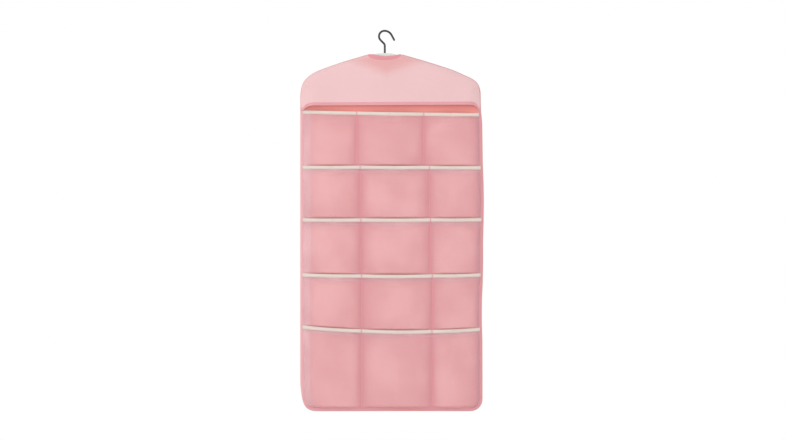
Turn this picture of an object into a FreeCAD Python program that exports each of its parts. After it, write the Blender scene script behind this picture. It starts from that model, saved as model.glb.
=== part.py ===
import FreeCAD, Part
import math
import os
from FreeCAD import Vector

# A hanging pocket organizer: a steel hook turns in the neck of a plastic hanger, the hanger sits in
# a fabric sleeve, and a flat bag with five rows of three mesh pockets hangs below.
# Millimetres. Origin: the point inside the hook's crown that rests on the rail, on the hook's
# swivel axis. +X right, -Y front, +Z up.

# Hook wire. The crown is two arcs that share their top point, the left one tighter.
WIRE_R = 2.4
CROWN_X = -0.7
CROWN_LEFT_R = 12.7
CROWN_RIGHT_R = 18.6
FLARE_DEG = 28.0
FLARE_LENGTH = 12.5
STEM_BEND_R = 8.0
STEM_LEAN_DEG = 45.0

# Swivel: the stem turns in the hanger's bore, and a washer behind its peened end carries the load.
BORE_CLEARANCE = 0.05
WEB_BOTTOM = -60.0
WASHER_R = 4.7
WASHER_THICK = 1.5
AXIAL_PLAY = 0.1
PEEN_R = 3.7
PEEN_THICK = 1.6
CAVITY_R = 5.0

# Hanger.
HANGER_THICK = 11.0
ARM_HALF = 6.5
ARM_POINTS = ((0.0, -67.0), (60.0, -75.0), (113.0, -91.0), (150.0, -107.5), (175.0, -123.0))
HUB_HALF_TOP = 33.0
HUB_HALF_BOTTOM = 38.0
HUB_TOP = -49.0
HUB_SHOULDER = -54.5
HUB_BOTTOM = -74.0
HANGER_EDGE_R = 2.0

# Outline of the bag in the X-Z plane.
NECK_LEFT = (-39.0, -51.6)
NECK_RIGHT = (40.0, -51.6)
NECK_SLOPE = 0.3
LEFT_SHOULDER = (
    (-105.0, -71.5),
    (-129.5, -80.0),
    (-153.5, -89.0),
    (-172.0, -99.0),
    (-182.5, -108.0),
    (-189.5, -117.0),
    (-193.0, -127.0),
)
RIGHT_SHOULDER = (
    (106.0, -71.0),
    (134.0, -80.0),
    (160.0, -89.0),
    (183.0, -99.0),
    (202.0, -108.0),
    (214.0, -117.0),
    (219.5, -127.0),
)
LEFT_X = -195.8
LEFT_SIDE_TOP = -150.0
RIGHT_TOP = (222.0, -159.0)
RIGHT_SIDE = (
    RIGHT_TOP,
    (222.8, -182.0),
    (225.6, -210.0),
    (226.8, -300.0),
    (228.6, -345.0),
    (229.4, -390.0),
    (228.8, -440.0),
    (227.6, -490.0),
    (227.8, -530.0),
    (226.8, -580.0),
    (224.8, -621.0),
    (224.6, -667.0),
    (226.0, -714.0),
    (226.2, -806.0),
    (226.2, -850.7),
)
LEFT_CORNER = (
    (-152.0, -877.7),
    (-172.0, -875.7),
    (-181.5, -870.2),
    (-187.0, -862.0),
    (-191.0, -850.0),
    (-194.6, -825.0),
    (LEFT_X, -795.0),
)
BOTTOM = -877.7
CORNER_R = 27.0
SIDE_FOOT = 30.0

CURVE_POINTS = 22
CORNER_POINTS = 9

# Fabric layers, front to back.
CLOTH = 1.2
YOKE_FRONT = -8.2
BACKING_FRONT = 6.5
BACKING_BACK = BACKING_FRONT + CLOTH
EDGE_WIDTH = 7.0
EDGE_LIP = 0.8
EDGE_INSET = 1.0
YOKE_WALL_BACK = BACKING_FRONT - EDGE_LIP - 0.1

# Yoke hem and neck.
HEM_LEFT_END = (-188.5, -181.0)
HEM_LEFT_TURN = (-159.0, -169.0)
HEM_RIGHT_TURN = (199.0, -167.5)
HEM_RIGHT_END = (217.5, -181.0)
HEM_HEIGHT = 5.0
NECK_DIP_X = 4.0
NECK_DIP_HALF = 30.0
NECK_DIP = 4.5
FACING_DEPTH = 12.5
FACING_END = 1.0
FACING_THICK = 0.8

# Pockets: the top of each mouth, left to right, and the two column seams of each row.
MOUTH_TOPS = (
    (-183.2, -185.8, -187.6),
    (-309.8, -309.9, -310.6),
    (-431.8, -431.8, -431.5),
    (-560.6, -562.0, -560.5),
    (-685.0, -690.6, -688.0),
)
COLUMN_SEAMS = ((-65.0, 90.0), (-57.0, 103.0), (-55.0, 106.0), (-54.0, 110.0), (-54.0, 109.0))
POCKET_PLANE = 5.7
POCKET_END_WALL = 3.0
SEAM_GAP = 2.2
EDGE_GAP = 1.2
FLOOR_GAP = 3.5
FLOOR_DEPTH = 2.5
FLOOR_HEIGHT = 3.0
BELLY_DEPTHS = (18.0, 20.0, 16.0)
BELLY_LOW = 0.35
BELLY_HIGH = 0.75
MOUTH_SHARE = 0.8
BINDING_HEIGHT = 8.0
BINDING_THICK = 0.7
BINDING_REACH = 0.6
MOUTH_STRAIGHT = 10.0

# Seams and tacks.
SEAM_HALF = 1.2
SEAM_THICK = 0.8
TAB_THICK = 0.5
TAB_DROP = 15.0
TAB_RISE = 2.0
TACK_THICK = 0.8
TACK_RISE = 1.0
TACK_DROP = 2.0


def flat(x, z, y=0.0):
    return Vector(x, y, z)


def line(a, b):
    return Part.LineSegment(a, b).toShape()


def arc(a, through, b):
    return Part.Arc(a, through, b).toShape()


def curve(points, start, end):
    """Points along a smooth curve through the points given, with its directions at both ends."""
    spline = Part.BSplineCurve()
    spline.interpolate(Points=points, InitialTangent=start, FinalTangent=end)
    return spline.discretize(Number=CURVE_POINTS)


def outlined(points):
    return Part.Face(Part.makePolygon(points + points[:1]))


def on_circle(centre, radius, degrees):
    angle = math.radians(degrees)
    return centre + Vector(radius * math.cos(angle), 0, radius * math.sin(angle))


def slab(face, front, back):
    """A face in the X-Z plane, made as thick as the stretch from front to back."""
    solid = face.extrude(Vector(0, back - front, 0))
    solid.translate(Vector(0, front, 0))
    return solid


def block(x0, x1, y0, y1, z0, z1):
    return Part.makeBox(x1 - x0, y1 - y0, z1 - z0, Vector(x0, y0, z0))


def save(shape, node):
    shape.exportStep("parts/" + node + ".step")


def hook():
    left = flat(CROWN_X, WIRE_R - CROWN_LEFT_R)
    right = flat(CROWN_X, WIRE_R - CROWN_RIGHT_R)
    lean = math.radians(STEM_LEAN_DEG)
    joins = on_circle(left, CROWN_LEFT_R, 180 + STEM_LEAN_DEG)
    bend_across = STEM_BEND_R * (1 - math.cos(lean))
    bend_up = STEM_BEND_R * math.sin(lean)
    straight = (-bend_across - joins.x) / math.tan(lean)
    bend_start = joins.z - straight - bend_up
    bend_centre = flat(-STEM_BEND_R, bend_start)
    stem_end = WEB_BOTTOM - AXIAL_PLAY - WASHER_THICK
    flare = on_circle(right, CROWN_RIGHT_R, FLARE_DEG)
    away = math.radians(FLARE_DEG)
    tip = flare + FLARE_LENGTH * Vector(math.sin(away), 0, -math.cos(away))
    path = Part.Wire([
        line(flat(0, stem_end), flat(0, bend_start)),
        arc(
            flat(0, bend_start),
            on_circle(bend_centre, STEM_BEND_R, STEM_LEAN_DEG / 2),
            on_circle(bend_centre, STEM_BEND_R, STEM_LEAN_DEG),
        ),
        line(on_circle(bend_centre, STEM_BEND_R, STEM_LEAN_DEG), joins),
        arc(joins, on_circle(left, CROWN_LEFT_R, 158), on_circle(left, CROWN_LEFT_R, 90)),
        arc(on_circle(right, CROWN_RIGHT_R, 90), on_circle(right, CROWN_RIGHT_R, 59), flare),
        line(flare, tip),
    ])
    ring = Part.Wire(Part.makeCircle(WIRE_R, flat(0, stem_end), Vector(0, 0, 1)))
    wire = path.makePipeShell([ring], True, False)
    peen = Part.makeCylinder(PEEN_R, PEEN_THICK, flat(0, stem_end - PEEN_THICK))
    return wire.fuse([Part.makeSphere(WIRE_R, tip), peen]).removeSplitter()


def washer():
    low = flat(0, WEB_BOTTOM - AXIAL_PLAY - WASHER_THICK)
    ring = Part.makeCylinder(WASHER_R, WASHER_THICK, low)
    return ring.cut(Part.makeCylinder(WIRE_R, WASHER_THICK, low))


def arm_face(side):
    """One arm: a strip of constant width along the arm's middle line, with a round end."""
    middle = [flat(side * x, z) for x, z in ARM_POINTS]
    spline = Part.BSplineCurve()
    spline.interpolate(Points=middle)
    upper = []
    lower = []
    for point in middle:
        along = spline.tangent(spline.parameter(point))[0]
        across = Vector(-along.z, 0, along.x) * side
        upper.append(point + ARM_HALF * across)
        lower.append(point - ARM_HALF * across)
    end = middle[-1] + ARM_HALF * spline.tangent(spline.parameter(middle[-1]))[0]
    top = Part.BSplineCurve()
    top.interpolate(Points=upper)
    bottom = Part.BSplineCurve()
    bottom.interpolate(Points=lower[::-1])
    edges = [
        top.toShape(),
        arc(upper[-1], end, lower[-1]),
        bottom.toShape(),
        line(lower[0], upper[0]),
    ]
    return Part.Face(Part.Wire(edges))


def hanger():
    hub_wire = Part.Wire([
        arc(
            flat(-HUB_HALF_TOP, HUB_SHOULDER),
            flat(0, HUB_TOP),
            flat(HUB_HALF_TOP, HUB_SHOULDER),
        ),
        line(flat(HUB_HALF_TOP, HUB_SHOULDER), flat(HUB_HALF_BOTTOM, HUB_BOTTOM)),
        line(flat(HUB_HALF_BOTTOM, HUB_BOTTOM), flat(-HUB_HALF_BOTTOM, HUB_BOTTOM)),
        line(flat(-HUB_HALF_BOTTOM, HUB_BOTTOM), flat(-HUB_HALF_TOP, HUB_SHOULDER)),
    ])
    half = HANGER_THICK / 2
    pieces = [slab(arm_face(side), -half, half) for side in (-1, 1)]
    body = slab(Part.Face(hub_wire), -half, half).fuse(pieces).removeSplitter()
    long_edges = [
        edge
        for edge in body.Edges
        if abs(edge.BoundBox.YLength) < 0.01 and edge.Length > 4 * HANGER_EDGE_R
    ]
    body = body.makeFillet(HANGER_EDGE_R, long_edges)
    bore = Part.makeCylinder(WIRE_R + BORE_CLEARANCE, 40, flat(0, WEB_BOTTOM - 20))
    cavity = Part.makeCylinder(CAVITY_R, 40, flat(0, WEB_BOTTOM - 40))
    return body.cut([bore, cavity])


def right_side(z):
    """The bag's right edge at height z."""
    for upper, lower in zip(RIGHT_SIDE, RIGHT_SIDE[1:]):
        if z >= lower[1]:
            share = (z - upper[1]) / (lower[1] - upper[1])
            return upper[0] + share * (lower[0] - upper[0])
    return RIGHT_SIDE[-1][0]


def right_corner():
    """Points along the lower right quarter circle, clockwise as seen from the front."""
    centre = flat(RIGHT_SIDE[-1][0] - CORNER_R, BOTTOM + CORNER_R)
    step = 90 / (CORNER_POINTS - 1)
    return [on_circle(centre, CORNER_R, -step * n) for n in range(CORNER_POINTS)]


def outline_face():
    right = [flat(*p) for p in (NECK_RIGHT, *RIGHT_SHOULDER, RIGHT_TOP)]
    left = [flat(LEFT_X, LEFT_SIDE_TOP)] + [flat(*p) for p in (*LEFT_SHOULDER[::-1], NECK_LEFT)]
    foot = [flat(*p) for p in LEFT_CORNER]
    points = curve(right, Vector(1, 0, -NECK_SLOPE), Vector(0, 0, -1))
    points += [flat(*p) for p in RIGHT_SIDE[1:-1]]
    points += right_corner()
    points += curve(foot, Vector(-1, 0, 0), Vector(0, 0, 1))
    points += curve(left, Vector(0, 0, 1), Vector(1, 0, NECK_SLOPE))
    return outlined(points)


def above_hem(lift):
    """The region above the yoke's lower edge, raised by lift, wider than the bag."""
    left = [flat(x, z + lift) for x, z in (HEM_LEFT_END, HEM_LEFT_TURN)]
    right = [flat(x, z + lift) for x, z in (HEM_RIGHT_TURN, HEM_RIGHT_END)]
    level = Vector(1, 0, 0)
    points = [flat(LEFT_X - 20, left[0].z)]
    points += curve(left, Vector(0.5, 0, 1), level)
    points += curve(right, level, Vector(0.5, 0, -1))
    points += [flat(RIGHT_TOP[0] + 20, right[1].z), flat(RIGHT_TOP[0] + 20, 0)]
    points += [flat(LEFT_X - 20, 0)]
    return outlined(points)


def neck_cut():
    """The shallow dip in the sleeve's front edge at the neck."""
    ends = [flat(NECK_DIP_X + side * NECK_DIP_HALF, NECK_RIGHT[1]) for side in (-1, 1)]
    low = flat(NECK_DIP_X, NECK_RIGHT[1] - NECK_DIP)
    face = Part.Face(Part.Wire([arc(ends[0], low, ends[1]), line(ends[1], ends[0])]))
    return slab(face, YOKE_FRONT - 5, BACKING_BACK + 5)


def yoke(outline):
    """The sleeve's front: a shallow tray, open at the neck and along the slit under its hem."""
    front = slab(outline, YOKE_FRONT, YOKE_FRONT + CLOTH)
    rim = slab(outline, YOKE_FRONT, YOKE_WALL_BACK)
    hollow = slab(outline.makeOffset2D(-CLOTH), YOKE_FRONT + CLOTH, YOKE_WALL_BACK + 1)
    neck = block(NECK_LEFT[0], NECK_RIGHT[0], YOKE_FRONT + CLOTH, 20, NECK_LEFT[1] - 9, 0)
    tray = rim.cut([hollow, neck]).fuse(front)
    tray = tray.common(slab(above_hem(HEM_HEIGHT), YOKE_FRONT - 1, YOKE_WALL_BACK + 1))
    return tray.cut(neck_cut())


def hem(outline):
    """The folded band along the yoke's lower edge."""
    inner = outline.makeOffset2D(-CLOTH)
    band = slab(inner, YOKE_FRONT, YOKE_FRONT + CLOTH)
    band = band.common(slab(above_hem(0), YOKE_FRONT - 1, YOKE_FRONT + 2 * CLOTH))
    return band.cut(slab(above_hem(HEM_HEIGHT), YOKE_FRONT - 1, YOKE_FRONT + 2 * CLOTH))


def neck_facing(front):
    """The facing tape: a crescent under the neck's edge."""
    left = flat(NECK_LEFT[0] + FACING_END, NECK_LEFT[1])
    right = flat(NECK_RIGHT[0] - FACING_END, NECK_RIGHT[1])
    low = flat(NECK_DIP_X, NECK_LEFT[1] - FACING_DEPTH)
    face = Part.Face(Part.Wire([arc(left, low, right), line(right, left)]))
    return slab(face, front, front + FACING_THICK).cut(neck_cut())


def edge_bindings(outline, backing):
    """The tape folded over the bag's edge: one piece for each side, the bottom and each shoulder."""
    front = BACKING_FRONT - EDGE_LIP
    back = BACKING_BACK + EDGE_LIP
    band = slab(outline, front, back).cut(slab(outline.makeOffset2D(-EDGE_WIDTH), front, back))
    band = band.cut(backing)
    band = band.cut(block(NECK_LEFT[0], NECK_RIGHT[0], front, back, NECK_LEFT[1] - 2 * EDGE_WIDTH, 0))
    foot = BOTTOM + SIDE_FOOT
    middle = (LEFT_X + RIGHT_TOP[0]) / 2
    far = 400
    regions = {
        "edge_shoulder_left": block(-far, middle, front, back, LEFT_SIDE_TOP, 0),
        "edge_shoulder_right": block(middle, far, front, back, RIGHT_TOP[1], 0),
        "edge_left": block(-far, middle, front, back, foot, LEFT_SIDE_TOP),
        "edge_right": block(middle, far, front, back, foot, RIGHT_TOP[1]),
        "edge_bottom": block(-far, far, front, back, BOTTOM - 1, foot),
    }
    return {node: band.common(region) for node, region in regions.items()}


def pocket_span(row, column):
    """The left and right ends of a pocket's front."""
    left_seam, right_seam = COLUMN_SEAMS[row]
    middle = MOUTH_TOPS[row][1] - 60
    starts = (LEFT_X + EDGE_WIDTH + EDGE_GAP, left_seam + SEAM_GAP, right_seam + SEAM_GAP)
    ends = (left_seam - SEAM_GAP, right_seam - SEAM_GAP, right_side(middle) - EDGE_WIDTH - EDGE_GAP)
    return starts[column], ends[column]


def pocket_floor(row, column):
    if row + 1 < len(MOUTH_TOPS):
        return MOUTH_TOPS[row + 1][column] + FLOOR_GAP
    return BOTTOM + EDGE_WIDTH + EDGE_GAP


def section(x0, x1, depth, z, behind):
    """A closed wire at height z: an arc that bows forward by depth, closed behind it."""
    left = Vector(x0, POCKET_PLANE, z)
    right = Vector(x1, POCKET_PLANE, z)
    bow = Vector((x0 + x1) / 2, POCKET_PLANE - depth, z)
    if not behind:
        return Part.Wire([arc(left, bow, right), line(right, left)])
    back = Vector(0, behind, 0)
    return Part.Wire([
        arc(left, bow, right),
        line(right, right + back),
        line(right + back, left + back),
        line(left + back, left),
    ])


def bow_at(z, floor, top, belly):
    """How far the pocket's front bows forward at height z."""
    heights = (floor, floor + BELLY_LOW * (top - floor), floor + BELLY_HIGH * (top - floor),
               top - MOUTH_STRAIGHT)
    bows = (FLOOR_DEPTH, 0.85 * belly, belly, MOUTH_SHARE * belly)
    for index in range(3):
        low, high = heights[index], heights[index + 1]
        if z <= high:
            share = (z - low) / (high - low)
            return bows[index] + share * (bows[index + 1] - bows[index])
    return bows[-1]


def pocket_block(x0, x1, levels, floor, top, belly, thinner, behind):
    """A solid behind the pocket's front, ruled between sections, with a straight mouth on top."""
    sections = [
        section(x0, x1, bow_at(z, floor, top, belly) - thinner, z, behind) for z in levels
    ]
    lower = Part.makeLoft(sections, True, True)
    mouth = Part.Face(section(x0, x1, MOUTH_SHARE * belly - thinner, levels[-1], behind))
    upper = mouth.extrude(Vector(0, 0, MOUTH_STRAIGHT + (1 if behind else 0)))
    return lower.fuse(upper)


def pocket_front(row, column):
    x0, x1 = pocket_span(row, column)
    floor = pocket_floor(row, column)
    top = MOUTH_TOPS[row][column]
    belly = BELLY_DEPTHS[column]
    rise = top - floor
    bends = [floor + BELLY_LOW * rise, floor + BELLY_HIGH * rise, top - MOUTH_STRAIGHT]
    outer = pocket_block(x0, x1, [floor] + bends, floor, top, belly, 0, 0)
    inner = pocket_block(
        x0 + POCKET_END_WALL,
        x1 - POCKET_END_WALL,
        [floor + FLOOR_HEIGHT] + bends,
        floor,
        top,
        belly,
        CLOTH,
        1.0,
    )
    return outer.cut(inner)


def pocket_binding(row, column, front):
    """The tape folded over the mouth: a band thicker than the mesh, with the mesh cut out of it."""
    x0, x1 = pocket_span(row, column)
    top = MOUTH_TOPS[row][column] + BINDING_THICK
    low = top - BINDING_HEIGHT
    bow = MOUTH_SHARE * BELLY_DEPTHS[column]
    outer = Part.Face(section(x0 - BINDING_REACH, x1 + BINDING_REACH, bow + BINDING_THICK, low, 0))
    wall = POCKET_END_WALL + BINDING_REACH
    inner_bow = bow - CLOTH - BINDING_THICK
    inner = Part.Face(section(x0 + wall, x1 - wall, inner_bow, low, 1.0))
    height = Vector(0, 0, BINDING_HEIGHT)
    return outer.extrude(height).cut([inner.extrude(height), front])


def bottom_seams():
    """The turned lower edge of rows one to four, sewn down behind the mouths of the row below."""
    tabs = []
    for row in range(len(MOUTH_TOPS) - 1):
        below = min(MOUTH_TOPS[row + 1])
        above = max(MOUTH_TOPS[row + 1])
        tabs.append(block(
            LEFT_X + EDGE_WIDTH + EDGE_GAP,
            right_side(below) - EDGE_WIDTH - EDGE_GAP,
            BACKING_FRONT - TAB_THICK,
            BACKING_FRONT,
            below - TAB_DROP,
            above + TAB_RISE,
        ))
    return tabs


def seam(row, side, tabs):
    """One column seam of a row, from the pocket's floor to its mouth."""
    x = COLUMN_SEAMS[row][side]
    top = MOUTH_TOPS[row][side] - BINDING_HEIGHT
    strip = block(
        x - SEAM_HALF,
        x + SEAM_HALF,
        BACKING_FRONT - SEAM_THICK,
        BACKING_FRONT,
        pocket_floor(row, side),
        top,
    )
    return strip.cut(tabs)


def bar_tacks():
    """Dense stitching that holds both neighbours' bindings down at each seam."""
    tacks = []
    for row, seams in enumerate(COLUMN_SEAMS):
        for side, x in enumerate(seams):
            top = MOUTH_TOPS[row][side]
            tacks.append(block(
                x - SEAM_HALF,
                x + SEAM_HALF,
                BACKING_FRONT - SEAM_THICK - TACK_THICK,
                BACKING_FRONT - SEAM_THICK,
                top - BINDING_HEIGHT - TACK_DROP,
                top + TACK_RISE,
            ))
    return Part.makeCompound(tacks)


os.makedirs("parts", exist_ok=True)
outline = outline_face()
backing = slab(outline.makeOffset2D(-EDGE_INSET), BACKING_FRONT, BACKING_BACK)
inside_edges = slab(outline.makeOffset2D(-EDGE_WIDTH - EDGE_GAP), -60, 20)
save(hook(), "hook")
save(washer(), "hook_washer")
save(hanger(), "hanger")
save(backing, "back_panel")
save(yoke(outline), "yoke_front")
save(hem(outline), "yoke_hem")
save(neck_facing(YOKE_FRONT - FACING_THICK), "neck_facing_front")
save(neck_facing(BACKING_BACK), "neck_facing_back")
for node, piece in edge_bindings(outline, backing).items():
    save(piece, node)
tabs = bottom_seams()
for row, tab in enumerate(tabs):
    save(tab, f"row_seam_{row + 1}")
for row in range(len(MOUTH_TOPS)):
    for column in range(3):
        front = pocket_front(row, column)
        if row + 1 == len(MOUTH_TOPS):
            front = front.common(inside_edges)
        label = f"{row + 1}_{column + 1}"
        save(front, "pocket_mesh_" + label)
        save(pocket_binding(row, column, front), "pocket_binding_" + label)
    for side in range(2):
        save(seam(row, side, tabs), f"column_seam_{row + 1}_{side + 1}")
save(bar_tacks(), "bar_tacks")
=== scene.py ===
import bpy
import math
import numpy as np
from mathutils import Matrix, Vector
from mathutils.bvhtree import BVHTree


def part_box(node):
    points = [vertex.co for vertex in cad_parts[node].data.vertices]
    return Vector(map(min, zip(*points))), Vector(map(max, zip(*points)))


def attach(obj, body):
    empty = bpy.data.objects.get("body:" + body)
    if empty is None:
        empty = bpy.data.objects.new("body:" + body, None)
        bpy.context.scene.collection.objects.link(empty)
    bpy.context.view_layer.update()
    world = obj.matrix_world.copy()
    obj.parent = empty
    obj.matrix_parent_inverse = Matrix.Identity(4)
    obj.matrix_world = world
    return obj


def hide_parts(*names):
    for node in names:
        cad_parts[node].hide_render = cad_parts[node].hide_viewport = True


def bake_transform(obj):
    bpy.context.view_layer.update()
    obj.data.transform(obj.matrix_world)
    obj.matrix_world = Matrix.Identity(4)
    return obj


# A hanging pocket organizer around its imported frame. Metres; +X right, -Y front, +Z up.

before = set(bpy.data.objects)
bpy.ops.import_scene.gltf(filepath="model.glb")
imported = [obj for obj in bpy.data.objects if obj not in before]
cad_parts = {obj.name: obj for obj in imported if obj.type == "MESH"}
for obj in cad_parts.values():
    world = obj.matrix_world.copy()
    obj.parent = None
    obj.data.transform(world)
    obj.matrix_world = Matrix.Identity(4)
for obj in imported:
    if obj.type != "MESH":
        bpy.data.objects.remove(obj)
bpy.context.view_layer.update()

MM = 0.001
ROWS = 5
COLUMNS = 3

# The outline: the step between its points, and how far in from it the pockets' sides are sewn.
OUTLINE_STEP = 3 * MM
SIDE_INSET = 6.6 * MM

# The limp bag waves to the back below this height, and fully this much further down.
WAVE_TOP = -0.19
WAVE_LENGTH = 0.68

# Layers of the bag from its lining forward, at the flat seams.
LINING_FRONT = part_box("back_panel")[0][1]
CLOTH_THICK = 0.5 * MM
TUCK_PLANE = LINING_FRONT - 0.4 * MM
TAB_PLANE = LINING_FRONT - 0.5 * MM
SIDE_PLANE = LINING_FRONT - 0.9 * MM
SEAM_PLANE = LINING_FRONT - 1.3 * MM

# The mesh strip of a row: its cell in the simulation, its extra width at floor, belly and mouth,
# and how far the pockets bow out before the simulation.
CELL = 4.0 * MM
EASE_HEIGHTS = (0.0, 0.4, 1.0)
EASES = (0.055, 0.085, 0.028)
START_BOW = 14 * MM
START_JITTER = 0.15 * MM

# The strip's sewing: the tab below its floor, the floor's gap to the next mouth, the last row's
# floor above the bag's bottom, the part under the edge tape, and the doubled left and right margins.
TAB_DROP = 15 * MM
FLOOR_GAP = 0.5 * MM
LAST_FLOOR = 7.5 * MM
TUCK = 3.0 * MM
DOUBLED = (19 * MM, 8 * MM)

# The net gets painted shade at the seams, where it lies close against the lining, and less of it up to
# this depth in front of them.
SEAM_SHADE_DEPTH = 9 * MM

# The strips' simulation, and how far its mouths are brought back to their taut line.
STRIP_FRAMES = 28
STRIP_GRAVITY = (0.0, -5.0, -9.81)
MOUTH_KEPT = 0.85

# Tapes: widths, and half the thickness of each folded tape.
MOUTH_TAPE = 7.4 * MM
TAPE_HALF = 0.9 * MM
TAPE_REACH = 2.6 * MM
EDGE_TAPE = 7.0 * MM
EDGE_HALF = 1.4 * MM
HEM_TAPE = 7.0 * MM
HEM_HALF = 0.75 * MM

# The yoke: the plane of its front, its sewn rim, its furthest front, and how far its hem hangs
# below the CAD hem.
YOKE_PLANE = -7.4 * MM
YOKE_SEAM = LINING_FRONT - 1.0 * MM
YOKE_FRONT = -9.0 * MM
HEM_DROP = 1.3 * MM

# The neck's middle, its dip, and its facing.
NECK_MIDDLE = 4 * MM
NECK_HALF = 30 * MM
NECK_DIP = 4.5 * MM
NECK_CORNER = 39 * MM
FACING_DEPTH = 12.5 * MM

# The yoke's simulation, and how much of its drape is kept: none along the sides, then rising.
YOKE_FRAMES = 22
YOKE_GRAVITY = (0.0, 0.8, -9.81)
DRAPE_KEPT = 0.45
DRAPE_MARGIN = 22 * MM
DRAPE_FADE = 45 * MM

# Thread.
STITCH_PITCH = 3.6 * MM
STITCH_LENGTH = 2.9 * MM
STITCH_R = 0.3 * MM

# The studio floor's radius and height, and the front view: a long lens on the bag's middle.
FLOOR_R = 1.6
FLOOR_Z = -1.1
VIEW_X = 0.0178
VIEW_Z = -0.4362
VIEW_DISTANCE = 6.0
VIEW_LENS = 119.0


# ---------------------------------------------------------------- the bag's outline


def cad_outline():
    """The lining's outline, counterclockwise from the right as seen from the front, as x and z."""
    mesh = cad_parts["back_panel"].data
    points = np.array([v.co for v in mesh.vertices])
    front = points[points[:, 1] < points[:, 1].min() + 0.1 * MM][:, [0, 2]]
    front = np.unique(np.round(front, 6), axis=0)
    middle = (front.min(axis=0) + front.max(axis=0)) / 2
    angle = np.arctan2(front[:, 1] - middle[1], front[:, 0] - middle[0])
    return front[np.argsort(angle)]


def resample(points, step, closed=False):
    """Points about one step apart along a polyline."""
    points = np.asarray(points, float)
    if closed:
        points = np.vstack([points, points[:1]])
    gaps = np.linalg.norm(np.diff(points, axis=0), axis=1)
    along = np.concatenate([[0], np.cumsum(gaps)])
    count = max(2, int(round(along[-1] / step)) + (0 if closed else 1))
    at = np.linspace(0, along[-1], count, endpoint=not closed)
    return np.stack([np.interp(at, along, points[:, k]) for k in range(points.shape[1])], axis=1)


def rounded(points, passes=2):
    """A closed loop with its facets smoothed."""
    for _ in range(passes):
        points = 0.5 * points + 0.25 * (np.roll(points, 1, axis=0) + np.roll(points, -1, axis=0))
    return points


def grown(loop, by):
    """A counterclockwise loop moved outward."""
    ahead = np.roll(loop, -1, axis=0) - np.roll(loop, 1, axis=0)
    outward = np.stack([ahead[:, 1], -ahead[:, 0]], axis=1)
    outward /= np.linalg.norm(outward, axis=1)[:, None]
    return loop + by * outward


OUTLINE = rounded(resample(cad_outline(), OUTLINE_STEP, closed=True))
MIDDLE_X = (OUTLINE[:, 0].min() + OUTLINE[:, 0].max()) / 2
BOTTOM_Z = OUTLINE[:, 1].min()
TOP_Z = OUTLINE[:, 1].max()


def side_of(loop, right):
    """A function of height that gives the loop's left or right side."""
    half = loop[loop[:, 0] > MIDDLE_X] if right else loop[loop[:, 0] <= MIDDLE_X]
    half = half[np.argsort(half[:, 1])]
    return lambda z: np.interp(z, half[:, 1], half[:, 0])


LEFT = side_of(OUTLINE, False)
RIGHT = side_of(OUTLINE, True)
INNER = grown(OUTLINE, -SIDE_INSET)
INNER_LEFT = side_of(INNER, False)
INNER_RIGHT = side_of(INNER, True)


def mouth_line(row):
    """A row's mouth height as a function of x: a smooth sag through its three pockets' tops."""
    boxes = [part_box(f"pocket_mesh_{row}_{c}") for c in range(1, COLUMNS + 1)]
    middles = [(lo[0] + hi[0]) / 2 for lo, hi in boxes]
    tops = [hi[2] for lo, hi in boxes]
    return np.poly1d(np.polyfit(middles, tops, 2))


MOUTHS = [mouth_line(row) for row in range(1, ROWS + 1)]


def hang(x, z):
    """How far the limp bag waves to the back at a point; nothing at the yoke."""
    below = np.clip((WAVE_TOP - np.asarray(z)) / WAVE_LENGTH, 0, 1)
    sway = 1.6 * np.sin(9.0 * x + 1.1) + 0.9 * np.sin(21.0 * x + 7.0 * z + 0.4)
    curl = 0.8 * np.sin(13.0 * z + 4.0 * x)
    pucker = 0.0
    for mouth in MOUTHS[1:]:
        near = np.exp(-((z - mouth(x) + 6 * MM) / (16 * MM)) ** 2)
        pucker = pucker + 0.35 * near * np.sin(2 * math.pi * x / (23 * MM) + 40.0 * z)
    return MM * below * (sway + curl + pucker)


def hung(points):
    """Points of the flat bag, moved to where the bag waves."""
    points = np.array(points, float)
    points[..., 1] += hang(points[..., 0], points[..., 2])
    return points


# ---------------------------------------------------------------- meshes


def new_mesh(name, points, faces, uvs=None):
    mesh = bpy.data.meshes.new(name)
    mesh.from_pydata([tuple(p) for p in points], [], faces)
    if uvs is not None:
        layer = mesh.uv_layers.new(name="cut")
        loops = np.empty(len(mesh.loops), int)
        mesh.loops.foreach_get("vertex_index", loops)
        layer.data.foreach_set("uv", np.asarray(uvs, np.float32)[loops].ravel())
    mesh.polygons.foreach_set("use_smooth", [True] * len(mesh.polygons))
    mesh.update()
    piece = bpy.data.objects.new(name, mesh)
    bpy.context.scene.collection.objects.link(piece)
    return piece


def grid_faces(rows, columns, wrap=False, start=0):
    """Quads of a grid of points stored row by row; wrap joins the last column to the first."""
    across = columns if wrap else columns - 1
    i, j = np.meshgrid(np.arange(rows - 1), np.arange(across), indexing="ij")
    a = i * columns + j
    b = i * columns + (j + 1) % columns
    quads = np.stack([a, b, b + columns, a + columns], axis=-1).reshape(-1, 4) + start
    return quads.tolist()


def sheet_piece(name, grid, uv):
    """An open sheet from a grid of points and its place on the flat cut, in metres."""
    rows, columns = grid.shape[:2]
    return new_mesh(name, grid.reshape(-1, 3), grid_faces(rows, columns), uv.reshape(-1, 2))


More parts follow.
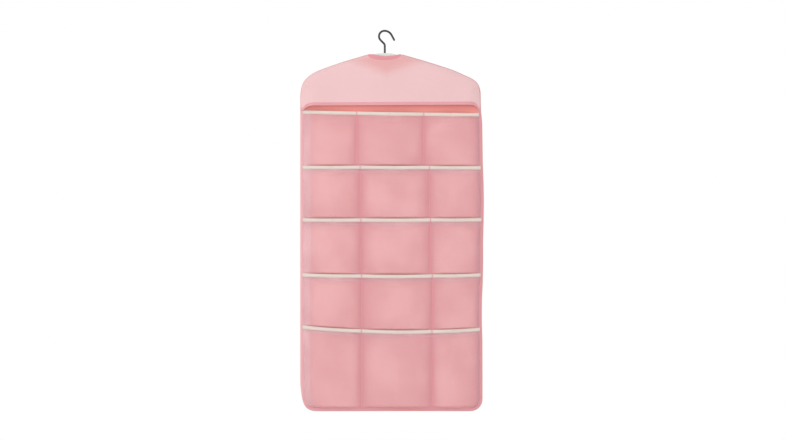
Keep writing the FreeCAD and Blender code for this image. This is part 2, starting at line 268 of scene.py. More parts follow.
def swept(name, centres, across, up, profile, from_end=False):
    """A closed bar: the profile's points along the centres, its weave counted from either end."""
    across = np.asarray(across)
    up = np.asarray(up)
    rings = np.array([
        centre + np.outer(profile[:, 0], a) + np.outer(profile[:, 1], u)
        for centre, a, u in zip(centres, across, up)
    ])
    count, sides = rings.shape[:2]
    faces = grid_faces(count, sides, wrap=True)
    faces.append(list(range(sides))[::-1])
    faces.append(list(range((count - 1) * sides, count * sides)))
    along = np.concatenate([[0], np.cumsum(np.linalg.norm(np.diff(centres, axis=0), axis=1))])
    if from_end:
        along -= along[-1]
    round_it = np.concatenate([[0], np.cumsum(np.linalg.norm(np.diff(profile, axis=0), axis=1))])
    uv = np.stack(np.meshgrid(along, round_it, indexing="ij"), axis=-1)
    bar = new_mesh(name, rings.reshape(-1, 3), faces, uv.reshape(-1, 2))
    for cap in bar.data.polygons[-2:]:
        cap.use_smooth = False
    return bar


def unit(vectors):
    return vectors / np.maximum(np.linalg.norm(vectors, axis=-1, keepdims=True), 1e-12)


def tape_profile(half, low, high, bend=3):
    """A folded tape's section: half its thickness across, from low to high, with a round fold."""
    turn = np.linspace(0, math.pi, 2 * bend + 1)
    fold = np.stack([half * np.cos(turn), high - half + half * np.sin(turn)], axis=1)
    corner = low + 0.2 * half
    foot = np.array([[-half, corner], [-0.8 * half, low], [0.8 * half, low], [half, corner]])
    return np.vstack([foot, fold])[::-1]


def thread_points(path, normal):
    """Middles, directions and normals of the stitches along a path."""
    gaps = np.linalg.norm(np.diff(path, axis=0), axis=1)
    along = np.concatenate([[0], np.cumsum(gaps)])
    count = max(1, int(along[-1] / STITCH_PITCH))
    at = (np.arange(count) + 0.5) * along[-1] / count
    middle = np.stack([np.interp(at, along, path[:, k]) for k in range(3)], axis=1)
    ahead = np.stack([np.interp(at + 0.2 * MM, along, path[:, k]) for k in range(3)], axis=1)
    out = np.stack([np.interp(at, along, normal[:, k]) for k in range(3)], axis=1)
    behind = np.stack([np.interp(at - 0.2 * MM, along, path[:, k]) for k in range(3)], axis=1)
    return middle, unit(ahead - behind), unit(out)


def stitches(name, runs, length=STITCH_LENGTH, radius=STITCH_R):
    """One mesh of short threads that dip into the cloth. A run is middles, ways and normals."""
    sides = 6
    stations = np.array([-0.5, -0.36, 0.0, 0.36, 0.5])
    widths = np.array([0.35, 0.9, 1.0, 0.9, 0.35])
    lifts = np.array([-0.9, 0.1, 0.45, 0.1, -0.9])
    turn = np.linspace(0, 2 * math.pi, sides, endpoint=False)
    points = []
    faces = []
    for middles, ways, outs in runs:
        for middle, way, out in zip(middles, ways, outs):
            side = np.cross(way, out)
            start = len(points)
            for s, w, lift in zip(stations, widths, lifts):
                ring = middle + way * (s * length) + out * (lift * radius)
                for angle in turn:
                    points.append(ring + radius * w * (math.cos(angle) * side + math.sin(angle) * out))
            faces += grid_faces(len(stations), sides, wrap=True, start=start)
            faces.append([start + k for k in range(sides)][::-1])
            faces.append([start + (len(stations) - 1) * sides + k for k in range(sides)])
    return new_mesh(name, points, faces)


def both_faces(line, out, half):
    """The stitches on both faces of a tape that is twice this half thick."""
    return [thread_points(line + face * out * half, face * out) for face in (1, -1)]


def thickened(piece, thickness, offset=0.0):
    thick = piece.modifiers.new("thick", "SOLIDIFY")
    thick.thickness = thickness
    thick.offset = offset


# ---------------------------------------------------------------- cloth simulation


def simulated(
    name, start, cut, faces, pinned, gravity, frames, obstacles=(), bending=0.05, weight=0.08
):
    """Where the points of a cloth come to rest, from its start, its flat cut and its pinned points."""
    piece = new_mesh(name, start, faces)
    piece.shape_key_add(name="Basis")
    key = piece.shape_key_add(name="flat")
    key.data.foreach_set("co", np.asarray(cut, np.float32).ravel())
    group = piece.vertex_groups.new(name="pins")
    group.add([int(k) for k in np.flatnonzero(pinned)], 1.0, "REPLACE")
    cloth = piece.modifiers.new("cloth", "CLOTH")
    settings = cloth.settings
    settings.quality = 6
    settings.mass = weight
    settings.tension_stiffness = 30
    settings.compression_stiffness = 30
    settings.shear_stiffness = 8
    settings.bending_stiffness = bending
    settings.air_damping = 2.0
    settings.vertex_group_mass = "pins"
    settings.pin_stiffness = 1.0
    settings.rest_shape_key = key
    cloth.collision_settings.use_collision = bool(obstacles)
    cloth.collision_settings.distance_min = 1.0 * MM
    cloth.collision_settings.use_self_collision = False
    for thing in obstacles:
        thing.modifiers.new("collision", "COLLISION")
        thing.collision.thickness_outer = 1.0 * MM
        thing.collision.thickness_inner = 2.0 * MM
    scene = bpy.context.scene
    scene.gravity = gravity
    cloth.point_cache.frame_start = 1
    cloth.point_cache.frame_end = frames
    for number in range(1, frames + 1):
        scene.frame_set(number)
    shown = piece.evaluated_get(bpy.context.evaluated_depsgraph_get())
    mesh = shown.to_mesh()
    points = np.empty(len(mesh.vertices) * 3)
    mesh.vertices.foreach_get("co", points)
    shown.to_mesh_clear()
    scene.frame_set(1)
    bpy.data.objects.remove(piece)
    for thing in obstacles:
        bpy.data.objects.remove(thing)
    return points.reshape(-1, 3)


def finer(grid):
    """A grid with a point added between each two, on a smooth curve through them."""
    for axis in (0, 1):
        g = np.moveaxis(grid, axis, 0)
        first = 2 * g[:1] - g[1:2]
        last = 2 * g[-1:] - g[-2:-1]
        p = np.concatenate([first, g, last])
        between = (9 * (p[1:-2] + p[2:-1]) - p[:-3] - p[3:]) / 16
        out = np.empty((2 * len(g) - 1,) + g.shape[1:])
        out[0::2] = g
        out[1::2] = between
        grid = np.moveaxis(out, 0, axis)
    return grid


# ---------------------------------------------------------------- pocket rows


def seam_x(row, side):
    lo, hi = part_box(f"column_seam_{row}_{side}")
    return (lo[0] + hi[0]) / 2


def row_strip(row):
    """The start, cut, pins and flat coordinates of one row's mesh, as grids from the tab up."""
    mouth = MOUTHS[row - 1]
    last = row == ROWS
    seams = [seam_x(row, 1), seam_x(row, 2)]
    widths = np.diff([-0.19, *seams, 0.218])
    cells = [2 * int(round(w / CELL / 2)) for w in widths]
    height = float(mouth(0) - (BOTTOM_Z + LAST_FLOOR if last else MOUTHS[row](0) + FLOOR_GAP))
    levels = int(round(height / CELL))
    tab = 0 if last else 4
    start = []
    cut = []
    pins = []
    for level in range(-tab, levels + 1):
        t = max(level, 0) / levels
        ease = 1 + np.interp(t, EASE_HEIGHTS, EASES)
        start_row = []
        cut_row = []
        pin_row = []
        guess = mouth(0) - (1 - t) * height
        knots = [float(INNER_LEFT(guess)), *seams, float(INNER_RIGHT(guess))]
        reach = 0.0
        for c in range(COLUMNS):
            for k in range(cells[c] + (c == COLUMNS - 1)):
                share = k / cells[c]
                x = knots[c] + share * (knots[c + 1] - knots[c])
                floor = BOTTOM_Z + LAST_FLOOR if last else MOUTHS[row](x) + FLOOR_GAP
                if level < 0:
                    z = floor + level / tab * (TAB_DROP + FLOOR_GAP)
                else:
                    z = floor + t * (mouth(x) - floor)
                belly = math.sin(math.pi * min(1.0, 0.12 + t * 0.9)) ** 0.6
                bow = START_BOW * 4 * share * (1 - share) * belly
                if level <= 0:
                    bow = 0.0
                plane = TAB_PLANE if level < 0 else SEAM_PLANE
                if level >= 0 and (c, share) in ((0, 0.0), (COLUMNS - 1, 1.0)):
                    plane = SIDE_PLANE
                start_row.append((x, plane - bow, z))
                cut_row.append((reach + share * (knots[c + 1] - knots[c]) * ease, 0.0, z))
                pin_row.append(level <= 0 or share in (0.0, 1.0))
            reach += (knots[c + 1] - knots[c]) * ease
        start.append(start_row)
        cut.append(cut_row)
        pins.append(pin_row)
    return {
        "start": np.array(start),
        "cut": np.array(cut),
        "pins": np.array(pins),
        "cells": cells,
        "tab": tab,
    }


def pocket_shapes():
    """All five rows' mesh, simulated together: grids of points, finer than the simulation's."""
    strips = [row_strip(row) for row in range(1, ROWS + 1)]
    start = np.vstack([s["start"].reshape(-1, 3) for s in strips])
    cut = np.vstack([s["cut"].reshape(-1, 3) for s in strips])
    pins = np.concatenate([s["pins"].ravel() for s in strips])
    faces = []
    count = 0
    for s in strips:
        rows, columns = s["start"].shape[:2]
        faces += grid_faces(rows, columns, start=count)
        count += rows * columns
    rng = np.random.default_rng(5)
    start[:, 1] -= START_JITTER * rng.random(len(start)) * ~pins
    points = simulated("mesh_cloth", start, cut, faces, pins, STRIP_GRAVITY, STRIP_FRAMES)
    count = 0
    for mouth, s in zip(MOUTHS, strips):
        rows, columns = s["start"].shape[:2]
        grid = points[count:count + rows * columns].reshape(rows, columns, 3)
        count += rows * columns
        body = s["tab"]
        grid[body:, :, 1] = np.minimum(grid[body:, :, 1], SIDE_PLANE)
        share = np.linspace(0, 1, rows - body)[:, None]
        sag = mouth(grid[-1, :, 0]) - grid[-1, :, 2]
        grid[body:, :, 2] += MOUTH_KEPT * sag * share
        s["grid"] = finer(grid)
        s["uv"] = finer(s["cut"])[:, :, [0, 2]]
        s["tab"] *= 2
        s["cells"] = [2 * n for n in s["cells"]]
    return strips


# ---------------------------------------------------------------- materials


def shader(name):
    material = bpy.data.materials.new(name)
    material.use_nodes = True
    return material, material.node_tree, material.node_tree.nodes["Principled BSDF"]


def add(tree, kind, **values):
    node = tree.nodes.new(kind)
    for key, value in values.items():
        setattr(node, key, value)
    return node


def maths(tree, operation, *inputs):
    node = add(tree, "ShaderNodeMath", operation=operation)
    for index, value in enumerate(inputs):
        if isinstance(value, (int, float)):
            node.inputs[index].default_value = value
        else:
            tree.links.new(value, node.inputs[index])
    return node.outputs[0]


def flat_axes(tree):
    """The cloth's own two directions, in metres on its flat cut."""
    uv = add(tree, "ShaderNodeUVMap", uv_map="cut")
    split = add(tree, "ShaderNodeSeparateXYZ")
    tree.links.new(uv.outputs[0], split.inputs[0])
    return split.outputs[0], split.outputs[1]


def wave(tree, value, pitch):
    """A smooth wave from 0 to 1 with this pitch."""
    turn = maths(tree, "MULTIPLY", value, 2 * math.pi / pitch)
    return maths(tree, "MULTIPLY_ADD", maths(tree, "SINE", turn), 0.5, 0.5)


def noise(tree, scale, detail=3.0):
    node = add(tree, "ShaderNodeTexNoise")
    node.inputs["Scale"].default_value = scale
    node.inputs["Detail"].default_value = detail
    place = add(tree, "ShaderNodeTexCoord").outputs["Object"]
    tree.links.new(place, node.inputs["Vector"])
    return node.outputs["Fac"]


def mixed(tree, share, low, high):
    """A colour from low to high; each end is a colour or another node's output."""
    node = add(tree, "ShaderNodeMix", data_type="RGBA")
    tree.links.new(share, node.inputs["Factor"])
    for socket, value in ((node.inputs["A"], low), (node.inputs["B"], high)):
        if isinstance(value, tuple):
            socket.default_value = (*value, 1.0)
        else:
            tree.links.new(value, socket)
    return node.outputs["Result"]


def linear(red, green, blue):
    """A screen colour of 0 to 255 as the shader's linear one."""
    out = []
    for value in (red, green, blue):
        value /= 255
        out.append(value / 12.92 if value <= 0.04045 else ((value + 0.055) / 1.055) ** 2.4)
    return tuple(out)


def shade(colour, by):
    return tuple(min(1.0, c * by) for c in colour)


def ranged(tree, value, low=0.0, high=1.0, to_low=0.0, to_high=1.0, kind="SMOOTHSTEP"):
    """The value between low and high, carried over to between to_low and to_high."""
    node = add(tree, "ShaderNodeMapRange", interpolation_type=kind)
    tree.links.new(value, node.inputs["Value"])
    limits = {"From Min": low, "From Max": high, "To Min": to_low, "To Max": to_high}
    for key, limit in limits.items():
        node.inputs[key].default_value = limit
    return node.outputs[0]


def bag_axes(tree):
    """The bag's x, y and z at a point, in metres."""
    place = add(tree, "ShaderNodeSeparateXYZ")
    tree.links.new(add(tree, "ShaderNodeTexCoord").outputs["Object"], place.inputs[0])
    return place.outputs


def coated(tree, bsdf, tone, rough, sheen=0.0):
    tree.links.new(tone, bsdf.inputs["Base Color"])
    bsdf.inputs["Roughness"].default_value = rough
    bsdf.inputs["Sheen Weight"].default_value = sheen


def bumped(tree, bsdf, height, distance, strength=1.0):
    bump = add(tree, "ShaderNodeBump")
    bump.inputs["Strength"].default_value = strength
    bump.inputs["Distance"].default_value = distance
    tree.links.new(height, bump.inputs["Height"])
    tree.links.new(bump.outputs[0], bsdf.inputs["Normal"])


def painted_neck_shade(tree, tone, neck_shade):
    """The tone, turning softly into painted shade around the neck, where the cloth falls back below
    the hanger's hub.
    """
    x, _, z = bag_axes(tree)
    across = maths(tree, "DIVIDE", maths(tree, "SUBTRACT", x, NECK_MIDDLE), 105 * MM)
    down = maths(tree, "DIVIDE", maths(tree, "ADD", z, 66 * MM), 40 * MM)
    radius = maths(tree, "ADD", maths(tree, "ABSOLUTE", across), maths(tree, "ABSOLUTE", down))
    return mixed(tree, ranged(tree, radius, 0.3, 1.2, 0.9, 0.0), tone, neck_shade)


def woven(name, colour, pitch, depth, neck_shade=None):
    """A plain weave: threads that pass over each other, in slightly uneven colour, with a painted
    highlight where they cross and, for the yoke, painted shade around the neck.
    """
    material, tree, bsdf = shader(name)
    u, v = flat_axes(tree)
    warp = wave(tree, u, pitch)
    weft = wave(tree, v, pitch)
    over = maths(tree, "MULTIPLY", warp, weft)
    height = maths(tree, "MAXIMUM", maths(tree, "MULTIPLY", warp, 0.8), weft)
    blotch = noise(tree, 9.0, 4.0)
    slub = noise(tree, 260.0, 2.0)
    tone = mixed(tree, blotch, shade(colour, 0.95), shade(colour, 1.05))
    tone = mixed(tree, maths(tree, "MULTIPLY", slub, 0.35), tone, shade(colour, 0.86))
    # painted highlight on the raised crossings of the threads
    tone = mixed(tree, maths(tree, "MULTIPLY", over, 0.18), tone, shade(colour, 1.12))
    # painted shade around the neck, below the hanger's hub
    if neck_shade:
        tone = painted_neck_shade(tree, tone, neck_shade)
    coated(tree, bsdf, tone, 0.85, 0.25)
    bumped(tree, bsdf, height, depth)
    return material


def painted_shade_right(tree, tone, deep):
    """The tone with painted shade: deeper towards the bag's right side and its bottom, where less
    light falls.
    """
    x, _, z = bag_axes(tree)
    side = maths(tree, "DIVIDE", maths(tree, "ADD", x, 0.18), 0.3)
    foot = maths(tree, "DIVIDE", maths(tree, "SUBTRACT", -0.8, z), 0.12)
    share = maths(tree, "ADD", side, maths(tree, "MAXIMUM", foot, 0.0))
    return mixed(tree, ranged(tree, share), tone, deep)


def ribbed(name, colour, pitch, depth, deep=None):
    """A woven tape with ribs across it and a finer thread along them, a painted highlight on the ribs'
    crests and, for the edge tape, painted shade towards the right and bottom.
    """
    material, tree, bsdf = shader(name)
    u, v = flat_axes(tree)
    rib = wave(tree, u, pitch)
    fine = wave(tree, v, pitch * 0.6)
    height = maths(tree, "ADD", rib, maths(tree, "MULTIPLY", fine, 0.35))
    blotch = noise(tree, 30.0, 3.0)
    tone = mixed(tree, blotch, shade(colour, 0.94), shade(colour, 1.05))
    # painted shade towards the bag's right side and bottom
    if deep:
        tone = painted_shade_right(tree, tone, deep)
    # painted highlight on the ribs' crests
    tone = mixed(tree, maths(tree, "MULTIPLY", rib, 0.16), tone, shade(colour, 1.1))
    coated(tree, bsdf, tone, 0.8, 0.2)
    bumped(tree, bsdf, height, depth)
    return material


def net(name, colour, deep, seam_shade, pitch, cover):
    """Sheer warp-knit net: slanting threads both ways, with painted shade near the seams where it lies
    close against the lining.
    """
    material, tree, bsdf = shader(name)
    u, v = flat_axes(tree)
    lean = maths(tree, "MULTIPLY", v, 0.577)
    one = wave(tree, maths(tree, "ADD", u, lean), pitch)
    two = wave(tree, maths(tree, "SUBTRACT", u, lean), pitch)
    strand = maths(tree, "MAXIMUM", one, two)
    edge = ranged(tree, strand, 1 - cover - 0.06, 1 - cover + 0.06)
    tree.links.new(edge, bsdf.inputs["Alpha"])
    blotch = ranged(tree, noise(tree, 11.0, 3.0), 0.35, 0.65)
    tone = mixed(tree, blotch, deep, shade(colour, 1.06))
    # painted shade near the seams, read from a point attribute of the net
    seam_shade_share = add(tree, "ShaderNodeAttribute", attribute_name="seam_shade").outputs["Fac"]
    tone = mixed(tree, seam_shade_share, tone, seam_shade)
    coated(tree, bsdf, tone, 0.6, 0.3)
    bumped(tree, bsdf, strand, 0.12 * MM)
    return material


def thread(name, colour):
    material, tree, bsdf = shader(name)
    twist = noise(tree, 1500.0, 2.0)
    tone = mixed(tree, twist, shade(colour, 0.85), shade(colour, 1.1))
    coated(tree, bsdf, tone, 0.55, 0.3)
    bumped(tree, bsdf, twist, 0.1 * MM)
    return material


def steel(name):
    material, tree, bsdf = shader(name)
    streak = noise(tree, 180.0, 4.0)
    tone = mixed(tree, streak, (0.034, 0.036, 0.038), (0.08, 0.084, 0.087))
    tree.links.new(tone, bsdf.inputs["Base Color"])
    bsdf.inputs["Metallic"].default_value = 1.0
    rough = ranged(tree, noise(tree, 420.0, 3.0), to_low=0.2, to_high=0.38, kind="LINEAR")
    tree.links.new(rough, bsdf.inputs["Roughness"])
    bumped(tree, bsdf, streak, 0.05 * MM, 0.4)
    return material


def plastic(name, colour):
    material, tree, bsdf = shader(name)
    cloud = noise(tree, 25.0, 2.0)
    tone = mixed(tree, cloud, shade(colour, 0.97), shade(colour, 1.02))
    coated(tree, bsdf, tone, 0.35)
    bumped(tree, bsdf, noise(tree, 120.0, 2.0), 0.05 * MM, 0.4)
    return material


CORAL = linear(231, 142, 135)
BLUSH = linear(222, 183, 184)
# Painted shade around the yoke's neck, below the hanger's hub.
NECK_SHADE_PINK = linear(213, 156, 156)
HEM_PINK = linear(216, 152, 157)
# The facing tape's pink, partly its own and partly painted shade of the curved neck opening; the back
# facing shares it.
FACING_PINK_AND_SHADE = linear(214, 138, 146)
TAPE_PINK = linear(222, 168, 171)
# Painted shade of the edge tape on the bag's right side and bottom.
TAPE_SHADE = linear(207, 142, 145)
NET_PINK = linear(234, 194, 199)
NET_DEEP = linear(229, 184, 190)
# Painted shade of the net near the seams.
NET_SEAM_SHADE = linear(213, 160, 170)
CREAM = linear(216, 202, 192)
THREAD_PINK = linear(232, 152, 163)

MATERIALS = {
    "lining": woven("lining_cloth", CORAL, 1.0 * MM, 0.08 * MM),
    # the yoke cloth carries painted shade around the neck
    "yoke": woven("yoke_cloth", BLUSH, 0.8 * MM, 0.06 * MM, neck_shade=NECK_SHADE_PINK),
    "hem": woven("hem_cloth", HEM_PINK, 0.8 * MM, 0.06 * MM),
    "facing": ribbed("facing_tape", FACING_PINK_AND_SHADE, 1.0 * MM, 0.1 * MM),
    "edge_tape": ribbed("edge_tape", TAPE_PINK, 1.0 * MM, 0.12 * MM, deep=TAPE_SHADE),
    "mesh": net("mesh_net", NET_PINK, NET_DEEP, NET_SEAM_SHADE, 1.3 * MM, 0.21),
    "binding": ribbed("mouth_tape", CREAM, 0.9 * MM, 0.1 * MM),
    "stitching": thread("pink_thread", THREAD_PINK),
    "steel": steel("hook_steel"),
    "white_plastic": plastic("hanger_plastic", linear(208, 211, 204)),
}
CREAM_THREAD = thread("cream_thread", linear(206, 196, 180))


def dressed(piece, slot, body="bag", material=None):
    piece.data.materials.append(material or MATERIALS[slot])
    if body:
        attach(piece, body)
    return piece


# ---------------------------------------------------------------- pockets


def mouth_frames(strip, first, last):
    """Along part of a mouth: its top points, the way down the cloth, and the way out."""
    grid = strip["grid"]
    top = grid[-1, first:last + 1]
    steps = max(1, int(round(MOUTH_TAPE / (CELL / 2))))
    down = unit(grid[-1 - steps, first:last + 1] - top)
    ahead = unit(np.gradient(grid[-1], axis=0))[first:last + 1]
    out = unit(np.cross(ahead, down))
    out *= -np.sign(out[:, 1:2])
    return top, down, out


def tucked(grid, uv, left, right, below):
    """The sheet with its outer edges carried on under the edge tape."""
    def more(edge, flat_edge, x, z):
        moved = edge + np.array([x, 0, z])
        moved[..., 1] = TUCK_PLANE
        return moved, flat_edge + np.array([x, z])

    if left:
        side, flat_side = more(grid[:, :1], uv[:, :1], -TUCK, 0)
        grid, uv = np.hstack([side, grid]), np.hstack([flat_side, uv])
    if right:
        side, flat_side = more(grid[:, -1:], uv[:, -1:], TUCK, 0)
        grid, uv = np.hstack([grid, side]), np.hstack([uv, flat_side])
    if below:
        row, flat_row = more(grid[:1], uv[:1], 0, -TUCK)
        grid, uv = np.vstack([row, grid]), np.vstack([flat_row, uv])
    return grid, uv


def wave_mesh(piece):
    """The piece's points moved to where the bag waves."""
    points = np.empty(len(piece.data.vertices) * 3)
    piece.data.vertices.foreach_get("co", points)
    piece.data.vertices.foreach_set("co", hung(points.reshape(-1, 3)).ravel())
    piece.data.update()


def net_piece(name, grid, uv, left, right):
    """A pocket half's net, doubled where its side margin is turned in at the bag's edge."""
    rows, columns = grid.shape[:2]
    points = [grid.reshape(-1, 3)]
    flats = [uv.reshape(-1, 2)]
    faces = grid_faces(rows, columns)
    if left or right:
        reach = abs(uv[rows // 2, :, 0] - uv[rows // 2, 0 if left else -1, 0])
        inside = np.flatnonzero(reach <= DOUBLED[0 if left else 1] + TUCK)
        margin = grid[:, inside] + np.array([0, 0.45 * MM, 0])
        margin[..., 1] = np.minimum(margin[..., 1], TUCK_PLANE + 0.1 * MM)
        points.append(margin.reshape(-1, 3))
        flats.append((uv[:, inside] + np.array([0.37 * MM, 0.61 * MM])).reshape(-1, 2))
        faces += grid_faces(rows, len(inside), start=rows * columns)
    points = np.vstack(points)
    piece = new_mesh(name, points, faces, np.vstack(flats))
    # Painted shade: deeper the closer the net lies to the seams, less so in the doubled left margin.
    depth = SEAM_PLANE - points[:, 1]
    near = np.clip(1 - depth / SEAM_SHADE_DEPTH, 0, 1) ** 1.5
    if left:
        near *= np.clip((points[:, 0] - points[:, 0].min()) / DOUBLED[0] - 0.6, 0, 1)
    layer = piece.data.attributes.new("seam_shade", "FLOAT", "POINT")
    layer.data.foreach_set("value", near.astype(np.float32))
    return piece


def pocket_half(strip, row, column, side):
    """Half of one pocket's front with its mouth tape."""
    begin = sum(strip["cells"][:column - 1])
    middle = begin + strip["cells"][column - 1] // 2
    end = begin + strip["cells"][column - 1]
    first, last = (begin, middle) if side == "left" else (middle, end)
    label = f"{row}_{column}_{side}"
    grid = strip["grid"][strip["tab"]:, first:last + 1]
    uv = strip["uv"][strip["tab"]:, first:last + 1]
    at_left = side == "left" and column == 1
    at_right = side == "right" and column == COLUMNS
    whole, flat_cut = tucked(grid, uv, at_left, at_right, row == ROWS)
    cloth = net_piece(f"pocket_net_{label}", whole, flat_cut, at_left, at_right)
    wave_mesh(cloth)
    dressed(cloth, "mesh", None)
    top, down, out = mouth_frames(strip, first, last)
    ends = [(at_left, 0, -TAPE_REACH), (at_right, len(top) - 1, TAPE_REACH)]
    for wanted, place, reach in ends:
        if wanted:
            tip = top[place] + np.array([reach, -0.7 * MM, 0.2 * MM])
            spot = place if place == 0 else place + 1
            top = np.insert(top, spot, tip, axis=0)
            down = np.insert(down, spot, down[place], axis=0)
            out = np.insert(out, spot, out[place], axis=0)
    pucker = 0.12 * MM * np.sin(850.0 * top[:, :1] + row) * out
    profile = tape_profile(TAPE_HALF, -MOUTH_TAPE, 0.8 * TAPE_HALF)
    tape = swept(f"mouth_tape_{label}", hung(top) + pucker, out, -down, profile, side == "left")
    dressed(tape, "binding", None)
    runs = both_faces(hung(top + down * (MOUTH_TAPE - 1.5 * MM)), out, TAPE_HALF)
    sewn = dressed(stitches(f"mouth_stitch_{label}", runs), "binding", None, CREAM_THREAD)
    for piece in (cloth, tape, sewn):
        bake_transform(piece)
    return cloth, tape


def pocket_rows():
    for row, strip in enumerate(pocket_shapes(), start=1):
        for column in range(1, COLUMNS + 1):
            for side in ("left", "right"):
                cloth, tape = pocket_half(strip, row, column, side)
                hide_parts(f"pocket_mesh_{row}_{column}")
                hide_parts(f"pocket_binding_{row}_{column}")
        if strip["tab"]:
            grid = strip["grid"][:strip["tab"] + 1]
            uv = strip["uv"][:strip["tab"] + 1]
            grid, uv = tucked(grid, uv, True, True, False)
            tab = dressed(sheet_piece(f"row_tab_{row}", hung(grid), uv), "mesh")
            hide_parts(f"row_seam_{row}")


# ---------------------------------------------------------------- lining and edges


def lining(edging):
    """The back panel: one sheet from side to side, level by level."""
    turn = np.linspace(0, math.pi, 150)
    levels = BOTTOM_Z + (TOP_Z - BOTTOM_Z) * (0.35 * (1 - np.cos(turn)) / 2 + 0.65 * turn / math.pi)
    share = np.linspace(0, 1, 90)
    left = LEFT(levels)[:, None]
    right = RIGHT(levels)[:, None]
    x = left + share * (right - left)
    z = np.repeat(levels[:, None], len(share), axis=1)
    y = np.full_like(x, LINING_FRONT + 0.3 * MM)
    flat_cut = np.stack([x, z], axis=-1)
    piece = sheet_piece("lining", hung(np.stack([x, y, z], axis=-1)), flat_cut)
    thickened(piece, CLOTH_THICK, 1.0)
    dressed(piece, "lining")
    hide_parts("back_panel")


def edge_runs():
    """The tape's path, from the neck's left end down, along the bottom and up to its right end."""
    loop = grown(OUTLINE, 1.0 * MM)
    neck = loop[:, 1] > loop[:, 1].max() - 1.2 * MM
    neck_left = np.flatnonzero(neck & (loop[:, 0] < MIDDLE_X))
    begin = int(neck_left[np.argmin(loop[neck_left, 0])])
    loop = np.roll(loop, 1 - begin, axis=0)
    last = int(np.flatnonzero(loop[:, 1] < loop[:, 1].max() - 1.2 * MM).max()) + 2
    loop = resample(loop[:last + 1], 3 * MM)
    half = len(loop) // 2
    foot = BOTTOM_Z + 30 * MM
    cuts = [
        0,
        int(np.argmin(abs(loop[:half, 1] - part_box("edge_left")[1][2]))),
        int(np.argmin(abs(loop[:half, 1] - foot))),
        half + int(np.argmin(abs(loop[half:, 1] - foot))),
        half + int(np.argmin(abs(loop[half:, 1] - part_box("edge_right")[1][2]))),
        len(loop) - 1,
    ]
    names = ("edge_shoulder_left", "edge_left", "edge_bottom", "edge_right", "edge_shoulder_right")
    ahead = unit(np.gradient(loop, axis=0))
    inward = np.stack([-ahead[:, 1], ahead[:, 0]], axis=1)
    return {
        name: (loop[a:b + 1], inward[a:b + 1])
        for name, a, b in zip(names, cuts, cuts[1:])
    }


def edge_piece(name, run, inward):
    """The tape folded over the bag's edge along a run of x and z points, with its stitching."""
    base = np.stack([run[:, 0], np.full(len(run), LINING_FRONT + 0.6 * MM), run[:, 1]], axis=1)
    inward = np.stack([inward[:, 0], np.zeros(len(run)), inward[:, 1]], axis=1)
    front = np.tile([0.0, -1.0, 0.0], (len(run), 1))
    profile = tape_profile(EDGE_HALF, -EDGE_TAPE, 0.0)
    tape = dressed(swept(f"{name}_tape", hung(base), front, -inward, profile), "edge_tape")
    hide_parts(name)
    runs = both_faces(hung(base + inward * (EDGE_TAPE - 1.3 * MM)), front, EDGE_HALF)
    sewn = dressed(stitches(f"{name}_stitch", runs), "stitching")
    return [tape, sewn]


def edges():
    pieces = []
    for name, (run, inward) in edge_runs().items():
        pieces += edge_piece(name, run, inward)
    return pieces


# ---------------------------------------------------------------- the yoke over the hanger


def shoulder_line():
    """The yoke's upper edge from left to right, as x and z."""
    loop = grown(OUTLINE, -0.8 * MM)
    left_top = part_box("edge_left")[1][2]
    right_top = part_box("edge_right")[1][2]
    high = np.where(loop[:, 0] < MIDDLE_X, loop[:, 1] > left_top, loop[:, 1] > right_top)
    upper = loop[high]
    upper = upper[np.argsort(upper[:, 0])]
    return upper


def hem_line():
    """The yoke's lower edge, just below the CAD hem's underside: its x and its z."""
    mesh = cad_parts["yoke_hem"].data
    points = np.array([v.co for v in mesh.vertices])
    points = points[points[:, 1] < points[:, 1].min() + 0.1 * MM]
    columns = np.unique(np.round(points[:, 0], 4))
    low = [points[abs(points[:, 0] - x) < 0.3 * MM, 2].min() for x in columns]
    return columns, np.array(low) - HEM_DROP


def neck_edge(x, z):
    """The shoulder line with the neck's shallow dip in it."""
    share = np.clip(1 - ((x - NECK_MIDDLE) / NECK_HALF) ** 2, 0, 1)
    return z - (NECK_DIP - 1.0 * MM) * share


def yoke_shape():
    """The yoke's start, flat cut and pins, as grids from the shoulder down."""
    upper = shoulder_line()
    hem_x, hem_z = hem_line()
    across = np.linspace(0, math.pi, 111)
    share = 0.5 * (1 - np.cos(across)) * 0.45 + 0.55 * across / math.pi
    x = upper[0, 0] + share * (upper[-1, 0] - upper[0, 0])
    top = neck_edge(x, np.interp(x, upper[:, 0], upper[:, 1]))
    low = np.interp(x, hem_x, hem_z)
    down = np.linspace(0, 1, 31)[:, None]
    down = 0.6 * down + 0.4 * down ** 1.6
    grid_x = np.repeat(x[None, :], len(down), axis=0)
    grid_z = top + down * (low - top)
    ends = [[(x[end], low[end])] for end in (0, -1)]
    rim = np.concatenate([ends[0], np.stack([x, top], axis=1), ends[1]])
    rim = resample(rim, 0.5 * MM)
    flat = np.stack([grid_x, grid_z], axis=-1).reshape(-1, 2)
    gap = np.sqrt(((flat[:, None, :] - rim[None, :, :]) ** 2).sum(axis=2))
    distance = gap.min(axis=1).reshape(grid_x.shape)
    reach = np.interp(-grid_z, (0.10, 0.18), (11 * MM, 42 * MM))
    rise = np.clip(distance / reach, 0, 1)
    crown = np.sin(0.5 * math.pi * rise)
    open_neck = np.interp(abs(x), (NECK_CORNER - 3 * MM, NECK_CORNER + 14 * MM), (1, 0))
    open_neck = open_neck ** 2 * (3 - 2 * open_neck)
    edge_y = YOKE_SEAM + open_neck * (YOKE_PLANE - YOKE_SEAM)
    y = edge_y + (YOKE_PLANE - edge_y) * crown
    start = np.stack([grid_x, y, grid_z], axis=-1)
    cut = start * np.array([0.997, 1.0, 1.0])
    pins = np.zeros(grid_x.shape, bool)
    pins[0] = True
    pins[:, 0] = True
    pins[:, -1] = True
    return start, cut, pins


